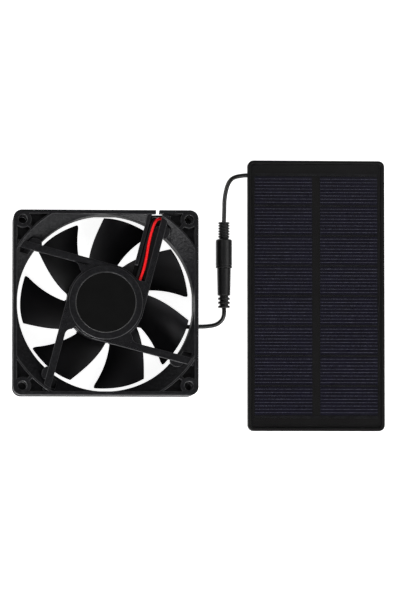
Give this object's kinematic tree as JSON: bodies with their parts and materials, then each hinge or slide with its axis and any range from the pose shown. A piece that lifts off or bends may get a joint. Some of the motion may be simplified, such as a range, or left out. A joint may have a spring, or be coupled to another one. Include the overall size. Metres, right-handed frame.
{
  "type": "solar attic fan",
  "caption": "Square axial fan with a bladed rotor on a strutted motor base, wired through a round DC plug and socket to a flat rectangular solar panel.",
  "frame": {"origin": "the fan's axis at its inlet face, which lies on the supporting surface", "axes": "+Z out of the fan's exhaust face, +X from the fan towards the solar panel, +Y along the panel's long side towards the end where its cable leaves"},
  "size_m": [0.187, 0.136, 0.025],
  "materials": {
    "frame_plastic": "fine moulded texture, satin black",
    "rotor_plastic": "smooth satin black",
    "label_film": "matte black film",
    "tube_brass": "turned",
    "sintered_bronze": "sintered, oil filled",
    "seal_rubber": "matte",
    "washer_nylon": "natural nylon",
    "clip_plastic": "nylon",
    "core_steel": "stacked laminations",
    "bobbin_plastic": "natural moulded",
    "coil_copper": "enamelled copper wire",
    "pin_tin": "tinned",
    "motor_board": "solder mask",
    "chip_epoxy": "moulded epoxy",
    "capacitor_can": "brushed can",
    "red_insulation": "smooth PVC",
    "black_insulation": "smooth PVC",
    "heat_shrink": "shrunk sleeve",
    "cable_jacket": "smooth PVC",
    "connector_plastic": "satin moulded",
    "contact_nickel": "nickel plated",
    "contact_insulator": "moulded",
    "yoke_steel": "drawn steel",
    "magnet_ferrite": "bonded ferrite",
    "shaft_steel": "ground",
    "tray_plastic": "fine moulded texture, black",
    "board_laminate": "black solder mask",
    "cell_silicon": "dark blue silicon with thin grid fingers",
    "ribbon_tin": "tinned ribbon",
    "clear_encapsulant": "clear",
    "clear_sheet": "clear matte film",
    "diode_epoxy": "moulded epoxy",
    "solder": "solder",
    "hot_glue": "hot melt glue"
  },
  "bodies": {
    "fan": {"fan_frame": "frame_plastic", "motor_label": "label_film", "bearing_tube": "tube_brass", "sleeve_bearing": "sintered_bronze", "oil_seal": "seal_rubber", "end_washer": "washer_nylon", "stator_core": "core_steel", "upper_bobbin": "bobbin_plastic", "lower_bobbin": "bobbin_plastic", "stator_coils": "coil_copper", "winding_pins": "pin_tin", "motor_circuit_board": "motor_board", "driver_chip": "chip_epoxy", "board_capacitor": "capacitor_can", "red_wire": "red_insulation", "black_wire": "black_insulation", "splice_sleeve": "heat_shrink", "fan_cable": "cable_jacket", "plug_body": "connector_plastic", "plug_barrel": "contact_nickel", "plug_insulator": "contact_insulator", "plug_inner_contact": "contact_nickel"},
    "rotor": {"impeller": "rotor_plastic", "rotor_yoke": "yoke_steel", "magnet_ring": "magnet_ferrite", "rotor_shaft": "shaft_steel", "shaft_bush": "tube_brass", "retaining_clip": "clip_plastic"},
    "panel": {"panel_tray": "tray_plastic", "backing_board": "board_laminate", "left_solar_cells": "cell_silicon", "right_solar_cells": "cell_silicon", "cell_ribbons": "ribbon_tin", "encapsulant": "clear_encapsulant", "front_sheet": "clear_sheet", "blocking_diode": "diode_epoxy", "solder_joints": "solder", "panel_red_lead": "red_insulation", "panel_black_lead": "black_insulation", "cable_anchor": "hot_glue", "panel_cable": "cable_jacket", "socket_body": "connector_plastic", "socket_pin": "contact_nickel", "socket_sleeve_contact": "contact_nickel"}
  },
  "joints": [
    {"name": "rotor_spin", "type": "hinge", "parent": "fan", "child": "rotor", "pos_m": [0, 0, 0.012], "axis": [0, 0, 1], "continuous": true},
    {"name": "connector_pull", "type": "slide", "parent": "fan", "child": "panel", "axis": [0, 1, 0], "range_m": [0, 0.0098]}
  ]
}
